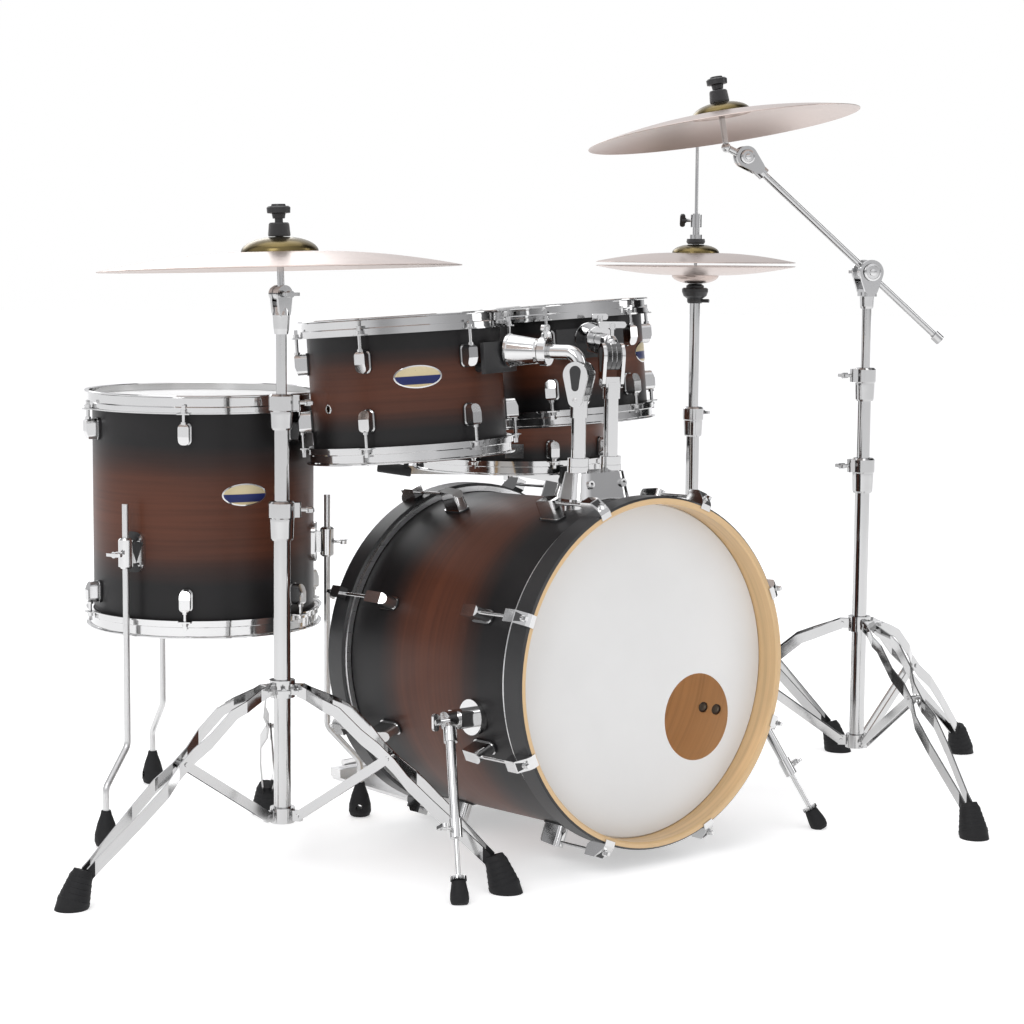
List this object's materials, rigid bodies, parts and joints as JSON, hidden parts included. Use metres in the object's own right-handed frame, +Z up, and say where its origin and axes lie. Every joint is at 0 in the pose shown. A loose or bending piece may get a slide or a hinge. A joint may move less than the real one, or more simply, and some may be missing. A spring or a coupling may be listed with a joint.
{
  "type": "acoustic drum kit",
  "caption": "Acoustic drum kit: bass drum with pedal, rack toms on posts, floor tom on legs, snare on a stand, hi-hat, boom and straight cymbal stands.",
  "frame": {"origin": "on the floor under the centre of the kit's bounding box", "axes": "+Z up, -Y towards the audience, +X to the audience's right"},
  "size_m": [1.8838, 1.4399, 1.2215],
  "materials": {
    "burst_shell": "satin lacquer, dark at both ends, red brown in the middle",
    "maple_hoop": "satin black outside, natural maple front edge",
    "drum_head": "coated film, light grey white",
    "chrome": "polished",
    "steel_rod": "bright drawn steel",
    "aluminium": "satin",
    "bronze": "lathed cast bronze",
    "steel_wire": "bright coiled wire"
  },
  "bodies": {
    "kit_base": {"bass_shell": "burst_shell", "bass_heads": "drum_head", "bass_hoops": "maple_hoop", "bass_claws": "chrome", "bass_lugs": "chrome", "bass_spur_brackets": "chrome", "tom_mount_saddle": "chrome", "floor_tom_shell": "burst_shell", "floor_tom_heads": "drum_head", "floor_tom_hoops": "chrome", "floor_tom_lugs": "chrome", "floor_tom_leg_brackets": "chrome", "pedal_base": "aluminium", "ride_stand_base": "chrome", "boom_stand_base": "chrome", "hihat_stand_base": "chrome", "snare_stand": "chrome"},
    "spur_left": {"bass_spur_left": "chrome"},
    "spur_right": {"bass_spur_right": "chrome"},
    "floor_tom_leg_a": {"floor_tom_leg_1": "steel_rod"},
    "floor_tom_leg_b": {"floor_tom_leg_2": "steel_rod"},
    "floor_tom_leg_c": {"floor_tom_leg_3": "steel_rod"},
    "tom12_holder": {"tom12_post": "chrome"},
    "tom12": {"tom12_arm": "chrome", "tom12_mount": "chrome", "tom12_shell": "burst_shell", "tom12_heads": "drum_head", "tom12_hoops": "chrome", "tom12_lugs": "chrome"},
    "tom10_holder": {"tom10_post": "chrome"},
    "tom10": {"tom10_arm": "chrome", "tom10_mount": "chrome", "tom10_shell": "burst_shell", "tom10_heads": "drum_head", "tom10_hoops": "chrome", "tom10_lugs": "chrome"},
    "snare": {"snare_basket": "chrome", "snare_shell": "burst_shell", "snare_heads": "drum_head", "snare_hoops": "chrome", "snare_lugs": "chrome", "snare_strainer": "chrome", "snare_wires": "steel_wire"},
    "snare_throw_off": {"snare_lever": "chrome"},
    "ride_middle": {"ride_stand_middle_tube": "chrome"},
    "ride_upper": {"ride_stand_upper_tube": "chrome"},
    "ride_head": {"ride_tilter": "chrome"},
    "ride_plate": {"ride_cymbal": "bronze"},
    "boom_middle": {"boom_stand_middle_tube": "chrome"},
    "boom_upper": {"boom_stand_upper_tube": "chrome"},
    "boom": {"boom_arm": "chrome"},
    "crash_head": {"crash_tilter": "chrome"},
    "crash_plate": {"crash_cymbal": "bronze"},
    "hihat_seat": {"hihat_upper_tube": "chrome", "hihat_bottom_cymbal": "bronze"},
    "hihat_top": {"hihat_pull_rod": "chrome", "hihat_top_cymbal": "bronze"},
    "hihat_footboard": {"hihat_pedal": "aluminium"},
    "footboard": {"pedal_footboard": "aluminium"},
    "beater": {"pedal_beater": "chrome"}
  },
  "joints": [
    {"name": "spur_left_fold", "type": "hinge", "parent": "kit_base", "child": "spur_left", "pos_m": [-0.3966, -0.37994, 0.23908], "axis": [1, 0, 0], "range_deg": [-55, 0]},
    {"name": "spur_right_fold", "type": "hinge", "parent": "kit_base", "child": "spur_right", "pos_m": [0.1994, -0.37994, 0.23908], "axis": [1, 0, 0], "range_deg": [-55, 0]},
    {"name": "floor_tom_leg_a_height", "type": "slide", "parent": "kit_base", "child": "floor_tom_leg_a", "axis": [0, 0, 1], "range_m": [-0.04, 0.1]},
    {"name": "floor_tom_leg_b_height", "type": "slide", "parent": "kit_base", "child": "floor_tom_leg_b", "axis": [0, 0, 1], "range_m": [-0.04, 0.05]},
    {"name": "floor_tom_leg_c_height", "type": "slide", "parent": "kit_base", "child": "floor_tom_leg_c", "axis": [0, 0, 1], "range_m": [-0.04, 0.1]},
    {"name": "tom12_height", "type": "slide", "parent": "kit_base", "child": "tom12_holder", "axis": [0, 0, 1], "range_m": [0, 0.03]},
    {"name": "tom12_tilt", "type": "hinge", "parent": "tom12_holder", "child": "tom12", "pos_m": [-0.1316, -0.358, 0.741], "axis": [-0.8868, -0.4622, 0], "range_deg": [-1.2, 5]},
    {"name": "tom10_height", "type": "slide", "parent": "kit_base", "child": "tom10_holder", "axis": [0, 0, 1], "range_m": [0, 0.04]},
    {"name": "tom10_tilt", "type": "hinge", "parent": "tom10_holder", "child": "tom10", "pos_m": [-0.0656, -0.358, 0.768], "axis": [-0.8916, 0.4528, 0], "range_deg": [-5, 5]},
    {"name": "snare_tilt", "type": "hinge", "parent": "kit_base", "child": "snare", "pos_m": [0.3844, 0.435, 0.469], "axis": [0, 1, 0], "range_deg": [-8, 8]},
    {"name": "snare_lever_throw", "type": "hinge", "parent": "snare", "child": "snare_throw_off", "pos_m": [0.50311, 0.5897, 0.579], "axis": [0.6088, 0.7934, 0], "range_deg": [0, 80]},
    {"name": "ride_middle_height", "type": "slide", "parent": "kit_base", "child": "ride_middle", "axis": [0, 0, 1], "range_m": [-0.01, 0.2]},
    {"name": "ride_upper_height", "type": "slide", "parent": "ride_middle", "child": "ride_upper", "axis": [0, 0, 1], "range_m": [-0.01, 0.2]},
    {"name": "ride_tilt", "type": "hinge", "parent": "ride_upper", "child": "ride_head", "pos_m": [-0.5581, -0.18, 0.863], "axis": [0, 0.9994, -0.034], "range_deg": [-15, 4]},
    {"name": "ride_spin", "type": "hinge", "parent": "ride_head", "child": "ride_plate", "pos_m": [-0.5581, -0.18, 0.863], "axis": [-0.0113, 0.034, 0.9994], "continuous": true},
    {"name": "boom_middle_height", "type": "slide", "parent": "kit_base", "child": "boom_middle", "axis": [0, 0, 1], "range_m": [-0.01, 0.2]},
    {"name": "boom_upper_height", "type": "slide", "parent": "boom_middle", "child": "boom_upper", "axis": [0, 0, 1], "range_m": [-0.01, 0.2]},
    {"name": "boom_swing", "type": "hinge", "parent": "boom_upper", "child": "boom", "pos_m": [0.5414, -0.33, 0.896], "axis": [-0.454, -0.891, 0], "range_deg": [-10, 12]},
    {"name": "crash_tilt", "type": "hinge", "parent": "boom", "child": "crash_head", "pos_m": [0.34378, -0.22931, 1.08745], "axis": [-0.454, -0.891, 0], "range_deg": [-12, 12]},
    {"name": "crash_spin", "type": "hinge", "parent": "crash_head", "child": "crash_plate", "pos_m": [0.31348, -0.21387, 1.10245], "axis": [-0.0785, 0.1474, 0.986], "continuous": true},
    {"name": "hihat_tube_height", "type": "slide", "parent": "kit_base", "child": "hihat_seat", "axis": [0, 0, 1], "range_m": [-0.06, 0]},
    {"name": "hihat_rod_pull", "type": "slide", "parent": "kit_base", "child": "hihat_top", "axis": [0, 0, 1], "range_m": [-0.0053, 0], "stiffness_N_per_m": 1500, "springref_m": 0.025},
    {"name": "hihat_pedal_press", "type": "hinge", "parent": "kit_base", "child": "hihat_footboard", "pos_m": [0.60266, 0.51007, 0.022], "axis": [0.9744, 0.225, 0], "range_deg": [0, 1.25]},
    {"name": "footboard_press", "type": "hinge", "parent": "kit_base", "child": "footboard", "pos_m": [-0.0986, 0.27, 0.028], "axis": [1, 0, 0], "range_deg": [0, 9.2]},
    {"name": "beater_swing", "type": "hinge", "parent": "kit_base", "child": "beater", "pos_m": [-0.0986, 0.01, 0.15], "axis": [1, 0, 0], "range_deg": [0, 47.6], "stiffness_Nm_per_rad": 0.8, "springref_deg": -34.38}
  ],
  "couplings": [
    {"joint": "hihat_rod_pull", "follows": "hihat_pedal_press", "m_per_rad": -0.2344},
    {"joint": "beater_swing", "follows": "footboard_press", "ratio": 5.16}
  ]
}
